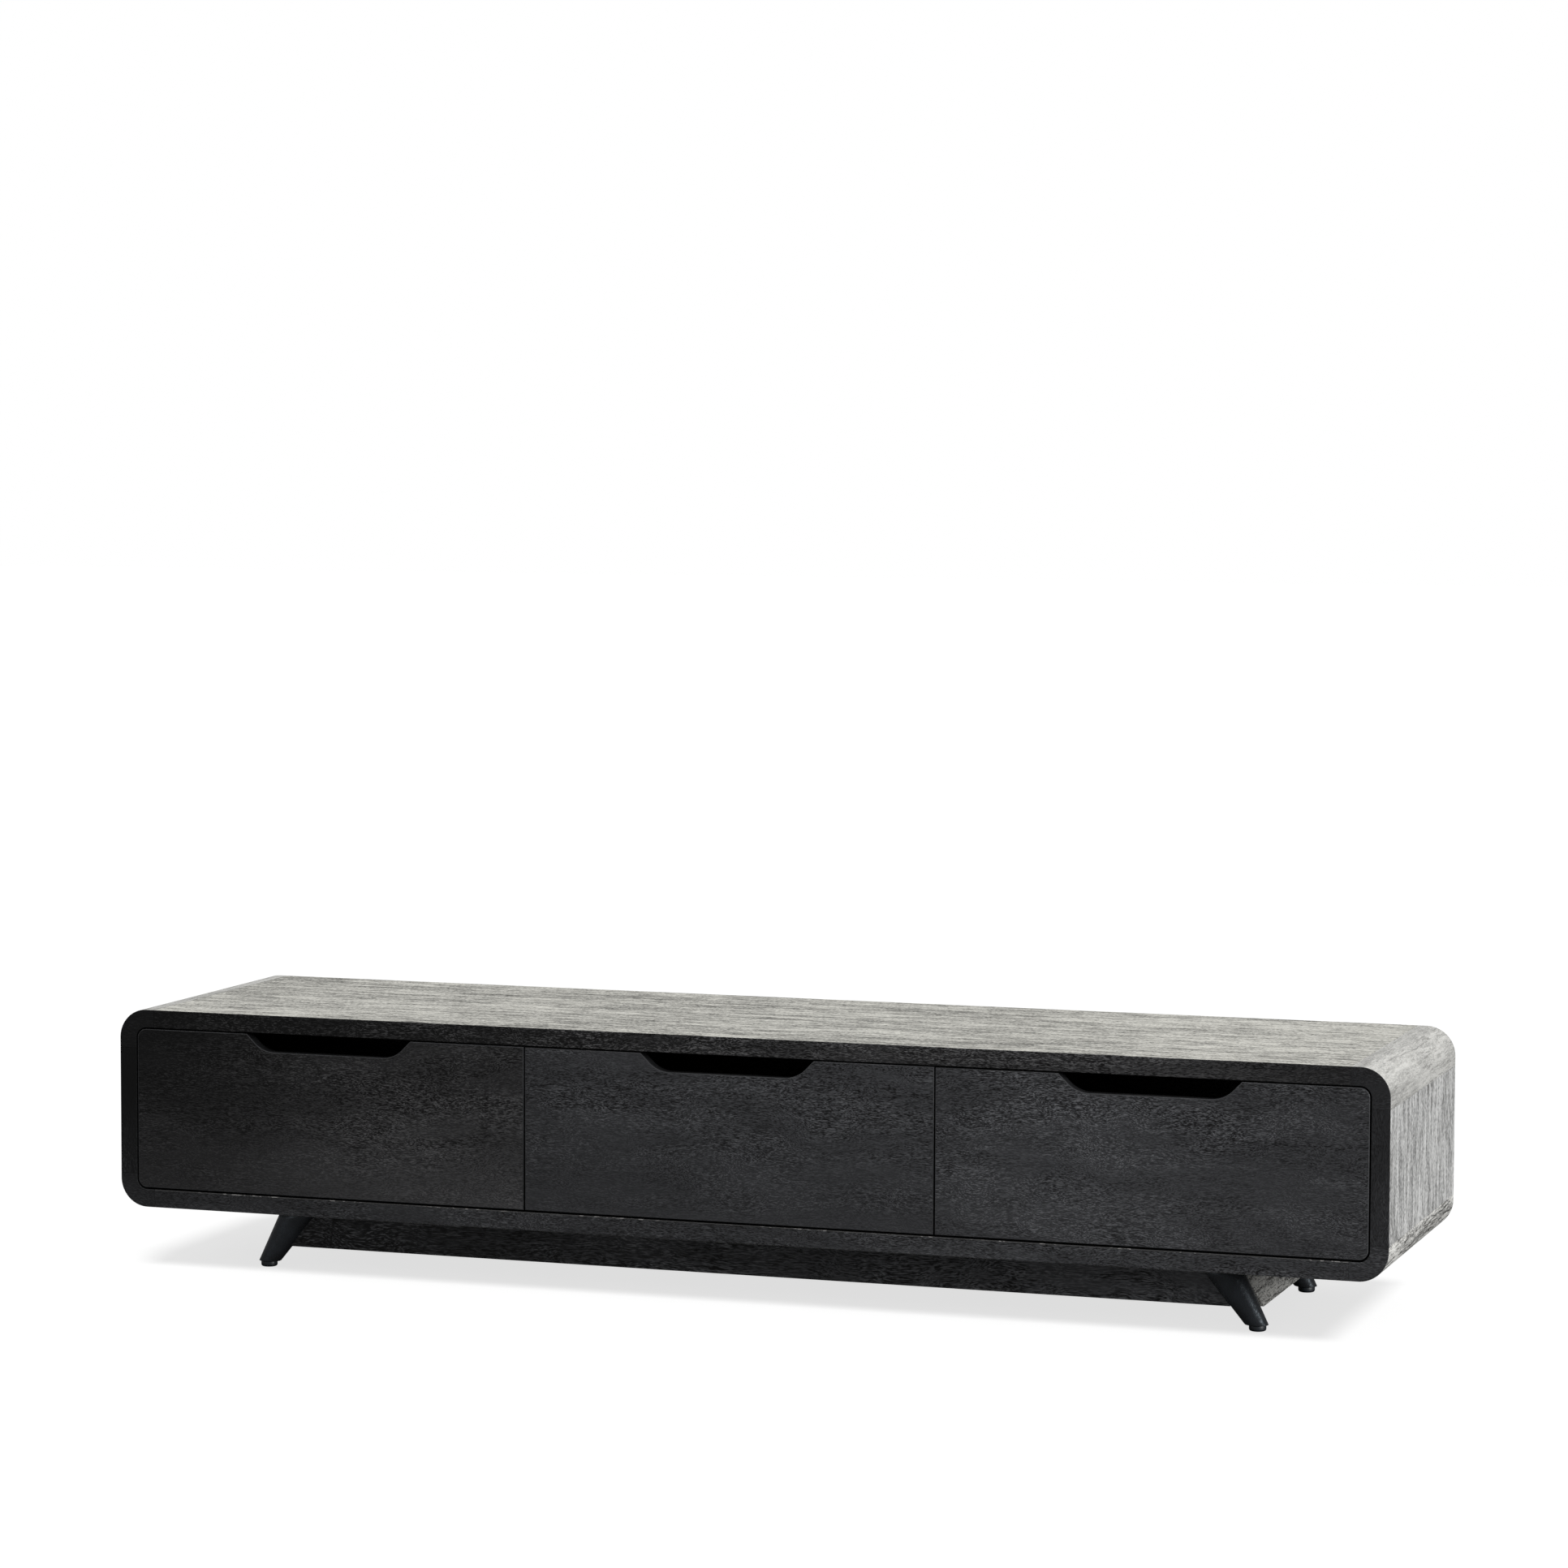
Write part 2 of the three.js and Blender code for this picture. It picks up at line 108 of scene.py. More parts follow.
# Moulded glides.
GLIDE_DIMPLE = [(3.2 * MM, 1.4 * MM), (4.2 * MM, 0.4 * MM), (4.8 * MM, 0.0)]
GLIDE_RIM = 3 * MM
GLIDE_CHAMFER = 0.8 * MM
GLIDE_GAP = 0.1 * MM

carcase_low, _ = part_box("bottom_panel")
_, carcase_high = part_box("top_panel")
side_low, side_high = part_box("side_panel_right")
WALL = side_high.x - side_low.x
CARCASE_CENTRE = Vector((0, 0, (carcase_low.z + carcase_high.z) / 2))


# ------------------------------------------------------------- node building

class Look:
    """A material under construction: short calls for the nodes it needs."""

    def __init__(self, name):
        self.material = bpy.data.materials.new(name)
        self.material.use_nodes = True
        self.tree = self.material.node_tree
        self.shader = self.tree.nodes["Principled BSDF"]

    def node(self, kind, **settings):
        made = self.tree.nodes.new(kind)
        for key, value in settings.items():
            setattr(made, key, value)
        return made

    def feed(self, socket, value):
        if isinstance(value, bpy.types.NodeSocket):
            self.tree.links.new(value, socket)
        else:
            socket.default_value = value

    def set(self, **inputs):
        for key, value in inputs.items():
            self.feed(self.shader.inputs[key.replace("_", " ")], value)

    def math(self, operation, a, b=0.0, c=0.0):
        made = self.node("ShaderNodeMath", operation=operation)
        for socket, value in zip(made.inputs, (a, b, c)):
            self.feed(socket, value)
        return made.outputs[0]

    def add(self, *terms):
        total = terms[0]
        for term in terms[1:]:
            total = self.math("ADD", total, term)
        return total

    def times(self, a, b):
        return self.math("MULTIPLY", a, b)

    def step(self, value, low, high, out_low=0.0, out_high=1.0):
        """Smooth step of value from low to high."""
        made = self.node("ShaderNodeMapRange", interpolation_type="SMOOTHSTEP")
        for socket, given in zip(made.inputs, (value, low, high, out_low, out_high)):
            self.feed(socket, given)
        return made.outputs[0]

    def noise(self, vector, detail=2.0, roughness=0.5, distortion=0.0):
        made = self.node("ShaderNodeTexNoise")
        self.feed(made.inputs["Vector"], vector)
        made.inputs["Scale"].default_value = 1.0
        made.inputs["Detail"].default_value = detail
        made.inputs["Roughness"].default_value = roughness
        made.inputs["Distortion"].default_value = distortion
        return made.outputs["Fac"]

    def join(self, x, y, z):
        made = self.node("ShaderNodeCombineXYZ")
        for socket, value in zip(made.inputs, (x, y, z)):
            self.feed(socket, value)
        return made.outputs[0]

    def place(self):
        """Where a point is at rest, in metres, as three numbers."""
        where = self.node("ShaderNodeTexCoord").outputs["Object"]
        parts = self.node("ShaderNodeSeparateXYZ")
        self.feed(parts.inputs[0], where)
        return parts.outputs

    def ramp(self, factor, stops):
        made = self.node("ShaderNodeValToRGB")
        self.feed(made.inputs["Fac"], factor)
        elements = made.color_ramp.elements
        while len(elements) < len(stops):
            elements.new(0.5)
        for element, (position, colour) in zip(elements, stops):
            element.position = position
            element.color = (*colour, 1.0)
        return made.outputs["Color"]

    def blend(self, factor, a, b, mode="MIX"):
        made = self.node("ShaderNodeMix", data_type="RGBA", blend_type=mode)
        self.feed(made.inputs["Factor"], factor)
        for socket, value in ((made.inputs["A"], a), (made.inputs["B"], b)):
            self.feed(socket, (*value, 1.0) if isinstance(value, tuple) else value)
        return made.outputs["Result"]

    def bump(self, height, distance, strength):
        made = self.node("ShaderNodeBump")
        made.inputs["Strength"].default_value = strength
        made.inputs["Distance"].default_value = distance
        self.feed(made.inputs["Height"], height)
        return made.outputs[0]


def along_grain(look, axis, seed, wander, waves=(3.2, 7.0)):
    """The point's place as (along, across, across). The grain lines wander
    sideways by about wander metres, in waves of that many a metre."""
    x, y, z = look.place()
    along, first, second = {"X": (x, y, z), "Y": (y, x, z), "Z": (z, x, y)}[axis]
    shift = 17.3 * seed
    slow = look.join(
        look.math("MULTIPLY_ADD", along, waves[0], shift),
        look.times(first, waves[1]),
        look.times(second, waves[1]),
    )
    sideways = look.times(look.math("SUBTRACT", look.noise(slow, detail=2.0), 0.5), 2 * wander)
    return (
        look.math("ADD", along, shift),
        look.add(first, sideways),
        look.add(second, sideways),
    )


def stretched(look, grain, along, across):
    """Grain coordinates scaled so that noise has that many cells a metre."""
    a, b, c = grain
    return look.join(look.times(a, along), look.times(b, across), look.times(c, across))


# ----------------------------------------------------------------- materials

def grey_wash(name, axis, seed, tint=(1.0, 1.0, 1.0), light=1.0, depth=1.0, fine=1.0, rings=None):
    """Open-grained wood under a thin grey wash: pale fibres, darker streaks and
    dark open pores. depth is how strong the streaks are and fine how much of
    them is short flecks; rings is the place of the heart (first, second) that a
    short block's growth rings run round."""
    look = Look(name)
    grain = along_grain(look, axis, seed, 8 * MM, (4.0, 9.0))
    streaks = look.noise(stretched(look, grain, 8.0, 95.0), detail=5.0, roughness=0.62)
    short = look.noise(stretched(look, grain, 45.0, 260.0), detail=2.0, roughness=0.6)
    flecks = look.noise(stretched(look, grain, 230.0, 480.0), detail=1.0)
    clouds = look.noise(stretched(look, grain, 2.0, 9.0), detail=2.0)
    tone = look.add(
        look.times(streaks, 0.52 - 0.14 * fine), look.times(short, 0.22),
        look.times(flecks, 0.14 + 0.14 * fine), look.times(clouds, 0.12),
    )
    fibre = (0.385 * light * tint[0], 0.382 * light * tint[1], 0.365 * light * tint[2])

    def shade(amount):
        return tuple(c * (1 + depth * amount) for c in fibre)

    wash = look.ramp(tone, [(0.405, shade(-0.80)), (0.455, shade(-0.42)), (0.50, shade(0.0)),
                            (0.56, shade(0.50))])
    pores = look.noise(stretched(look, grain, 22.0, 330.0), detail=2.0, roughness=0.7)
    patches = look.noise(stretched(look, grain, 5.0, 22.0), detail=2.0)
    open_pores = look.step(look.add(pores, look.times(patches, 0.25)), 0.69, 0.77)
    colour = look.blend(look.times(open_pores, 0.85 * depth), wash, (0.045, 0.043, 0.039))
    cracks = look.noise(stretched(look, grain, 2.6, 90.0), detail=1.0)
    off_crack = look.math("ABSOLUTE", look.math("SUBTRACT", cracks, 0.40))
    rare = look.step(look.noise(stretched(look, grain, 4.0, 14.0), detail=1.0), 0.50, 0.58)
    long_cracks = look.times(look.step(off_crack, 0.020, 0.008), rare)
    colour = look.blend(look.times(long_cracks, 0.75 * depth), colour, (0.05, 0.047, 0.042))
    if rings:
        _, first, second = grain
        away = look.join(look.math("SUBTRACT", first, rings[0]),
                         look.math("SUBTRACT", second, rings[1]), 0.0)
        radius = look.node("ShaderNodeVectorMath", operation="LENGTH")
        look.feed(radius.inputs[0], away)
        wobble = look.noise(stretched(look, grain, 9.0, 30.0), detail=3.0, roughness=0.6)
        phase = look.math("MULTIPLY_ADD", radius.outputs["Value"], 2 * math.pi / RING_WIDTH,
                          look.times(wobble, 20.0))
        lines = look.step(look.math("SINE", phase), 0.35, 0.9)
        gaps = look.noise(stretched(look, grain, 14.0, 60.0), detail=3.0, roughness=0.6)
        broken = look.step(gaps, 0.42, 0.54)
        colour = look.blend(look.math("MULTIPLY", look.times(lines, broken), 0.92), colour,
                            (0.035, 0.034, 0.032))
    look.set(
        Base_Color=colour,
        Roughness=look.step(tone, 0.4, 0.62, 0.70, 0.55),
        Normal=look.bump(look.add(short, look.times(flecks, 0.6), look.times(open_pores, -0.5)),
                         0.35 * MM, 0.6),
    )
    look.shader.inputs["Specular IOR Level"].default_value = 0.3
    return look.material


def black_stain(name, axis, seed, pale=0.5, dark=0.5, tone=1.0, wear_and_painted_highlight=0.0,
                painted_shade_left_right=(0.8, 1.2), end_fade=1.0, strokes_per_metre=120.0, calm_below=1.0,
                fineness=1.0, hue=COOL, shade=None):
    """Black-stained interlocked wood: short strokes that lean with the figure,
    paler in some patches and darker in others, under a thin satin finish.
    pale and dark are how strong the two kinds of stroke are, and tone how light
    the ground is. worn rubs it lighter, as on an edge, and lifts it evenly, a
    painted highlight along the edge. density is the ground's lightness at the left
    end and at the right, painted shade that darkens the left, and end_fade what is
    left of ground and strokes at the two ends of a rail. calm_below is how strong
    the strokes stay at the foot of a drawer front, and fineness how narrow they
    are. shade(look, x, z) makes a tone that the whole colour is multiplied by,
    painted light and shade that run over the piece."""
    look = Look(name)
    grain = along_grain(look, axis, seed, 26 * MM, (6.5, 11.0))
    strokes = look.noise(stretched(look, grain, strokes_per_metre, 1250.0 * fineness), detail=1.0,
                         roughness=0.6)
    ripples = look.noise(stretched(look, grain, 45.0 * fineness, 420.0 * fineness), detail=2.0,
                         roughness=0.6)
    hairs = look.noise(stretched(look, grain, 2.2 * strokes_per_metre, 1900.0 * fineness),
                       detail=1.0)
    figure = look.add(look.times(strokes, 0.46), look.times(ripples, 0.18), look.times(hairs, 0.36))
    pale_patch = look.noise(stretched(look, grain, 4.5, 22.0), detail=3.0)
    dark_patch = look.noise(stretched(look, grain, 4.0, 20.0), detail=3.0, distortion=0.6)
    clouds = look.noise(stretched(look, grain, 1.6, 4.5), detail=2.0)
    pale_here = look.step(pale_patch, 0.40, 0.60, 0.28, 1.0)
    dark_here = look.step(dark_patch, 0.36, 0.56, 0.35, 1.0)
    x, _, z = look.place()
    ends = look.step(look.math("ABSOLUTE", x), 0.72, 0.85, 1.0, end_fade)
    strength = look.times(look.step(z, *CALM_HEIGHTS, calm_below, 1.0), ends)
    pale_strokes = look.times(look.times(look.step(figure, 0.51, 0.60), pale_here), strength)
    dark_strokes = look.step(figure, 0.485 + 0.035 * dark, 0.39 + 0.035 * dark)
    dark_strokes = look.times(look.times(dark_strokes, dark_here), strength)
    # The ground's step along x is painted shade, darker towards the left end.
    ground = look.times(look.step(clouds, 0.3, 0.7, 0.0155 * tone, 0.0215 * tone),
                        look.times(look.step(x, -0.95, 0.95, *painted_shade_left_right), ends))
    ground_colour = look.join(ground, look.times(ground, hue[0]), look.times(ground, hue[1]))
    colour = look.blend(look.times(pale_strokes, pale), ground_colour,
                        (0.150, 0.150 * hue[0], 0.147 * hue[1]))
    colour = look.blend(look.times(dark_strokes, dark), colour, (0.0015, 0.0013, 0.0013))
    # The shade multiplied in here is painted light and shade over the piece.
    if shade:
        amount = shade(look, x, z)
        colour = look.blend(1.0, colour, look.join(amount, amount, amount), "MULTIPLY")
    # worn lightens the colour in rubbed patches, which are wear, and everywhere by 0.15 of worn,
    # which is a painted highlight along the edge.
    if wear_and_painted_highlight:
        rubs = look.step(look.noise(stretched(look, grain, 110.0, 200.0), detail=2.0), 0.53, 0.60)
        rubbed = look.step(look.noise(stretched(look, grain, 9.0, 9.0), detail=1.0), 0.44, 0.54)
        colour = look.blend(look.math("MULTIPLY_ADD", look.times(rubs, rubbed), wear_and_painted_highlight, 0.15 * wear_and_painted_highlight),
                            colour, (0.36, 0.35, 0.34))
    look.set(
        Base_Color=colour,
        Roughness=look.step(figure, 0.38, 0.64, 0.62, 0.46),
        Normal=look.bump(look.add(strokes, look.times(hairs, 0.4)), 0.25 * MM,
                         0.25 + 0.5 * max(pale, dark)),
    )
    look.shader.inputs["Specular IOR Level"].default_value = 0.2
    return look.material


# Painted light and shade that run over a piece. Each step goes from one place to
# another along x or up z, in metres, and from one tone to another.

def top_rail_painted_shade(look, x, z):
    """Painted shade: darker at both ends, and most at the left."""
    return look.times(look.step(x, -0.65, -0.2, 0.42, 1.25), look.step(x, 0.5, 0.84, 1.0, 0.55))


def stile_painted_shade(look, x, z):
    """Painted light and shade: lighter at the foot; above it the left stile is much the darker."""
    return look.step(z, 0.12, 0.26, 1.27, look.step(x, -0.5, 0.5, 0.2, 0.9))


def corner_painted_shade(look, x, z):
    """Painted light and shade as on the stiles, for the corner blocks between stile and rail."""
    return look.step(z, 0.10, 0.17, 1.7, look.step(x, -0.5, 0.5, 0.35, 0.9))


def left_front_painted_shade(look, x, z):
    """Painted shade: darkest at the upper left corner."""
    return look.add(look.step(x, -0.87, -0.45, 0.0, 0.78), look.step(z, 0.13, 0.33, 0.95, 0.18))


def right_front_painted_shade(look, x, z):
    """Painted shade: darker towards the right end."""
    return look.step(x, 0.35, 0.87, 1.28, 0.88)


def black_lacquer():
    """Turned leg: blue-black lacquer, slightly pebbled, over faint turned wood."""
    look = Look("black_lacquer")
    x, y, z = look.place()
    pebbles = look.noise(look.join(look.times(x, 380), look.times(y, 380), look.times(z, 240)),
                         detail=3.0, roughness=0.65)
    cloud = look.noise(look.join(look.times(x, 45), look.times(y, 45), look.times(z, 30)))
    look.set(
        Base_Color=look.ramp(cloud, [(0.35, (0.014, 0.0145, 0.0155)), (0.7, (0.019, 0.021, 0.0245))]),
        Roughness=look.step(pebbles, 0.38, 0.64, 0.24, 0.50),
        Normal=look.bump(pebbles, 0.5 * MM, 0.8),
    )
    look.shader.inputs["Specular IOR Level"].default_value = 0.15
    look.shader.inputs["Specular Tint"].default_value = (0.78, 0.90, 1.0, 1.0)
    return look.material


def glide_plastic():
    """Blue-black moulded plastic with a fine grit."""
    look = Look("glide_plastic")
    x, y, z = look.place()
    grit = look.noise(look.join(look.times(x, 900), look.times(y, 900), look.times(z, 900)))
    look.set(
        Base_Color=look.ramp(grit, [(0.3, (0.008, 0.0105, 0.014)), (0.7, (0.013, 0.017, 0.023))]),
        Roughness=look.step(grit, 0.3, 0.7, 0.34, 0.5),
        Normal=look.bump(grit, 0.08 * MM, 0.4),
    )
    return look.material


def stained_ply(name, axis, seed, shows_veneers=True):
    """Drawer-box plywood: charcoal-brown stain over fine straight grain, with
    its veneers in stripes along the edges that face up."""
    look = Look(name)
    grain = along_grain(look, axis, seed, 4 * MM)
    bands = look.noise(stretched(look, grain, 3.0, 60.0), detail=3.0)
    fibres = look.noise(stretched(look, grain, 18.0, 520.0), detail=3.0, roughness=0.6)
    tone = look.add(look.times(bands, 0.5), look.times(fibres, 0.5))
    face = look.ramp(tone, [(0.38, (0.018, 0.016, 0.014)), (0.5, (0.034, 0.030, 0.026)),
                            (0.62, (0.058, 0.051, 0.044))])
    x, y, _ = look.place()
    across = y if axis == "X" else x
    wave = look.math("SINE", look.times(across, 2 * math.pi / VENEER_PAIR))
    fuzz = look.noise(look.join(look.times(x, 300), look.times(y, 300), float(seed)), detail=3.0)
    layers = look.add(look.times(wave, 0.28), look.math("MULTIPLY_ADD", fuzz, 0.5, 0.25))
    veneers = look.ramp(layers, [(0.25, (0.022, 0.018, 0.015)), (0.5, (0.062, 0.052, 0.043)),
                                 (0.8, (0.12, 0.10, 0.082))])
    facing = look.node("ShaderNodeSeparateXYZ")
    look.feed(facing.inputs[0], look.node("ShaderNodeNewGeometry").outputs["True Normal"])
    on_edge = look.step(facing.outputs["Z"], 0.6, 0.9)
    if shows_veneers:
        face = look.blend(on_edge, face, veneers)
    look.set(
        Base_Color=face,
        Roughness=look.step(fibres, 0.35, 0.65, 0.6, 0.45),
        Normal=look.bump(fibres, 0.15 * MM, 0.5),
    )
    return look.material


def zinc_steel(name, dull=(0.50, 0.51, 0.53), bright=(0.66, 0.67, 0.68)):
    """Rolled and plated steel: fine draw lines along the channel, faint spangle."""
    look = Look(name)
    grain = along_grain(look, "Y", 3, 0.0)
    lines = look.noise(stretched(look, grain, 6.0, 2600.0), detail=2.0)
    spangle = look.noise(stretched(look, grain, 90.0, 160.0), detail=2.0)
    look.set(
        Base_Color=look.ramp(spangle, [(0.3, dull), (0.7, bright)]),
        Metallic=1.0,
        Roughness=look.step(look.add(look.times(lines, 0.5), look.times(spangle, 0.5)),
                            0.35, 0.65, 0.26, 0.42),
        Normal=look.bump(lines, 0.03 * MM, 0.4),
    )
    return look.material


GREY_ALONG = grey_wash("grey_wash_long", "X", 1, tint=(1.0, 0.995, 0.955), fine=1.3)
GREY_UPRIGHT = grey_wash("grey_wash_upright", "Z", 2, tint=(0.99, 1.0, 1.03), fine=1.3, depth=0.85)
GREY_UPPER_BLOCK = grey_wash("grey_wash_upper_block", "Y", 3, light=1.01, depth=0.42)
GREY_LOWER_BLOCK = grey_wash("grey_wash_lower_block", "Y", 4, light=1.22, depth=0.9,
                             rings=(0.99, 0.21))
# The side aprons' grey wash at 0.56 of its lightness is painted shade under the body.
GREY_APRON_PAINTED_SHADE = grey_wash("grey_wash_apron_painted_shade", "Y", 5, light=0.56, depth=1.25, fine=1.3)
# density and shade paint light and shade over the black stains below: darker towards the left end,
# and as each shade function runs.
BLACK_TOP_RAIL = black_stain("black_stain_top_rail", "X", 1, pale=0.75, dark=1.1, tone=1.1,
                             painted_shade_left_right=(0.25, 1.7), end_fade=0.5, fineness=0.75, hue=NEUTRAL,
                             shade=top_rail_painted_shade)
BLACK_RAIL = black_stain("black_stain_rail", "X", 8, pale=0.55, dark=1.0, tone=2.3,
                         painted_shade_left_right=(0.80, 1.1), end_fade=0.8)
BLACK_STILE = black_stain("black_stain_stile", "Z", 2, pale=0.18, dark=0.7, tone=1.0,
                          painted_shade_left_right=(0.30, 1.0), shade=stile_painted_shade)
BLACK_END = black_stain("black_stain_end", "X", 3, pale=0.24, dark=0.6, tone=1.1,
                        painted_shade_left_right=(0.60, 1.0), shade=corner_painted_shade)
BLACK_INSIDE = black_stain("black_stain_inside", "X", 4, pale=0.2, dark=0.5, tone=0.8)
BLACK_APRON = black_stain("black_stain_apron", "X", 5, pale=0.62, dark=1.1, tone=1.2,
                          painted_shade_left_right=(0.4, 2.8), strokes_per_metre=60.0, fineness=0.6)
BLACK_EDGE = black_stain("black_stain_arris", "X", 6, pale=0.3, dark=0.2, tone=1.9, wear_and_painted_highlight=0.06)
# The bottom rail's inner front arris: rubbed patches of wear, and an even painted highlight along it.
BLACK_WEAR_AND_HIGHLIGHT = black_stain("black_stain_arris_wear_and_painted_highlight", "X", 7, pale=0.25, dark=0.3, wear_and_painted_highlight=0.6)
LACQUER = black_lacquer()
PLASTIC = glide_plastic()
STEEL = zinc_steel("zinc_steel")
DARK_STEEL = zinc_steel("dark_steel", (0.10, 0.10, 0.105), (0.17, 0.17, 0.175))
SCREW_STEEL = zinc_steel("screw_steel", (0.22, 0.22, 0.23), (0.32, 0.32, 0.33))


# -------------------------------------------------------------- mesh building

def finish_mesh(bm, name, materials, choose=None):
    """Turns bm into an object with smooth, weighted normals. choose gives each
    face its place in materials from its normal and centre."""
    bmesh.ops.recalc_face_normals(bm, faces=bm.faces)
    for face in bm.faces:
        face.smooth = True
        if choose is not None:
            face.material_index = choose(face.normal, face.calc_center_median())
    mesh = bpy.data.meshes.new(name)
    bm.to_mesh(mesh)
    bm.free()
    for material in materials:
        mesh.materials.append(material)
    made = bpy.data.objects.new(name, mesh)
    bpy.context.scene.collection.objects.link(made)
    even = made.modifiers.new("even_normals", "WEIGHTED_NORMAL")
    even.keep_sharp = True
    even.weight = 90
    return made


def put(made, body, slot, *nodes):
    """made rides on body and stands for nodes. slot is not used."""
    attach(made, body)
    if nodes:
        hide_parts(*nodes)
    return made


def prism(outline, start, end):
    """A closed prism: outline is (x, z) points, carried along Y."""
    bm = bmesh.new()
    first, last = [[bm.verts.new((x, level, z)) for x, z in outline] for level in (start, end)]
    bm.faces.new(first)
    bm.faces.new(reversed(last))
    count = len(outline)
    for i in range(count):
        j = (i + 1) % count
        bm.faces.new((first[j], first[i], last[i], last[j]))
    bmesh.ops.recalc_face_normals(bm, faces=bm.faces)
    return bm


def round_edges(bm, width, picked, steps=ARRIS_STEPS):
    """Rounds the edges for which picked(first end, second end) is true."""
    edges = [e for e in bm.edges if picked(e.verts[0].co, e.verts[1].co)]
    bmesh.ops.bevel(bm, geom=edges, offset=width, segments=steps, profile=0.5,
                    affect="EDGES", clamp_overlap=True)


def on_plane(axis, *levels):
    """True for an edge that lies in one of the planes axis = level."""
    def picked(a, b):
        return any(abs(a[axis] - v) < EPS and abs(b[axis] - v) < EPS for v in levels)
    return picked


def arc(u, v, radius, start, end, steps):
    """Points of an arc about (u, v), with its start and end in degrees."""
    angles = [math.radians(start + (end - start) * i / steps) for i in range(steps + 1)]
    return [(u + radius * math.cos(a), v + radius * math.sin(a)) for a in angles]


# ------------------------------------------------------------------- carcase

def outer_or_inner(outer, front, inner, wear_and_painted_highlight=None):
    """Picks the outer finish, the front and back edges' finish or the inside,
    and the rubbed finish of an inner front arris, which carries a painted
    highlight."""
    order = [outer, front, inner, wear_and_painted_highlight or inner]

    def choose(normal, centre):
        outwards = centre - CARCASE_CENTRE
        outwards.y = 0
        if wear_and_painted_highlight and -0.98 < normal.y < -0.1 and normal.dot(outwards) < 0:
            return 3
        if abs(normal.y) > 0.45:
            return 1
        return 0 if normal.dot(outwards) > 0 else 2
    return order, choose


def carcase_board(node, outer, front, joints, wear_and_painted_highlight=None):
    """A flat board of the carcase, rounded on its front and back edges and
    with a hairline V at its glued ends. joints is the axis of those ends."""
    low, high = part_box(node)
    low, high = low.copy(), high.copy()
    low[joints] -= JOINT_CLOSE
    high[joints] += JOINT_CLOSE
    outline = [(low.x, low.z), (high.x, low.z), (high.x, high.z), (low.x, high.z)]
    bm = prism(outline, low.y, high.y)
    ends = on_plane(joints, low[joints], high[joints])
    faces = on_plane(1, low.y, high.y)
    round_edges(bm, ARRIS, lambda a, b: faces(a, b) and not ends(a, b))
    round_edges(bm, JOINT_ARRIS, ends, steps=1)
    materials, choose = outer_or_inner(outer, front, BLACK_INSIDE, wear_and_painted_highlight)
    made = finish_mesh(bm, f"{node}_wood", materials, choose)
    return put(made, "carcase", "grey_wash", node)


def corner_block(node, sideways, upwards, outer):
    """A solid corner, round outside and with a small fillet inside, drawn from
    its own corner inwards: u is the way in from the side and v from the floor
    or the top."""
    low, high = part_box(node)
    arm = high.x - low.x + JOINT_CLOSE
    rise = high.z - low.z + JOINT_CLOSE
    fillet = WALL + INNER_RADIUS
    outline = [(arm, 0), (arm, WALL)]
    outline += arc(fillet, fillet, INNER_RADIUS, 270, 180, ARC_STEPS)
    outline += [(WALL, rise), (0, rise)]
    outline += arc(OUTER_RADIUS, OUTER_RADIUS, OUTER_RADIUS, 180, 270, 2 * ARC_STEPS)
    corner_x = high.x if sideways > 0 else low.x
    corner_z = high.z if upwards > 0 else low.z
    placed = [(corner_x - sideways * u, corner_z - upwards * v) for u, v in outline]
    bm = prism(placed, low.y, high.y)
    joint_x = corner_x - sideways * arm
    joint_z = corner_z - upwards * rise
    at_x, at_z = on_plane(0, joint_x), on_plane(2, joint_z)
    faces = on_plane(1, low.y, high.y)
    round_edges(bm, ARRIS, lambda a, b: faces(a, b) and not (at_x(a, b) or at_z(a, b)))
    round_edges(bm, JOINT_ARRIS, lambda a, b: at_x(a, b) or at_z(a, b), steps=1)
    materials, choose = outer_or_inner(outer, BLACK_END, BLACK_INSIDE)
    made = finish_mesh(bm, f"{node}_wood", materials, choose)
    return put(made, "carcase", "grey_wash", node)


def dress_node(node, material, rounding=0.6 * MM):
    """A CAD piece that keeps its own mesh, with its edges eased."""
    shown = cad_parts[node]
    shown.data.materials.clear()
    shown.data.materials.append(material)
    eased = shown.modifiers.new("eased_edges", "BEVEL")
    eased.width = rounding
    eased.segments = 2
    eased.limit_method = "ANGLE"
    eased.angle_limit = math.radians(50)


def make_carcase():
    carcase_board("top_panel", GREY_ALONG, BLACK_TOP_RAIL, 0)
    carcase_board("bottom_panel", GREY_ALONG, BLACK_RAIL, 0, BLACK_WEAR_AND_HIGHLIGHT)
    for side, sideways in (("left", -1), ("right", 1)):
        carcase_board(f"side_panel_{side}", GREY_UPRIGHT, BLACK_STILE, 2)
        corner_block(f"corner_block_top_{side}", sideways, 1, GREY_UPPER_BLOCK)
        corner_block(f"corner_block_bottom_{side}", sideways, -1, GREY_LOWER_BLOCK)
        dress_node(f"divider_{side}", BLACK_INSIDE)
    dress_node("back_panel", BLACK_INSIDE)
    back_screws()


def back_screws():
    """A row of screws along the back panel's top and foot, and one at each end."""
    low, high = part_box("back_panel")
    left, right = low.x + BACK_SCREW_INSET, high.x - BACK_SCREW_INSET
    foot, top = low.z + BACK_SCREW_INSET, high.z - BACK_SCREW_INSET
    pitch = (right - left) / (BACK_SCREWS_ACROSS - 1)
    places = [Vector((left + pitch * i, high.y, z))
              for i in range(BACK_SCREWS_ACROSS) for z in (foot, top)]
    places += [Vector((x, high.y, (low.z + high.z) / 2)) for x in (left, right)]
    screws("back_panel_screws", "carcase", places, Vector((0, 1, 0)), BACK_SCREW, DARK_STEEL)


# ------------------------------------------------------------------- drawers

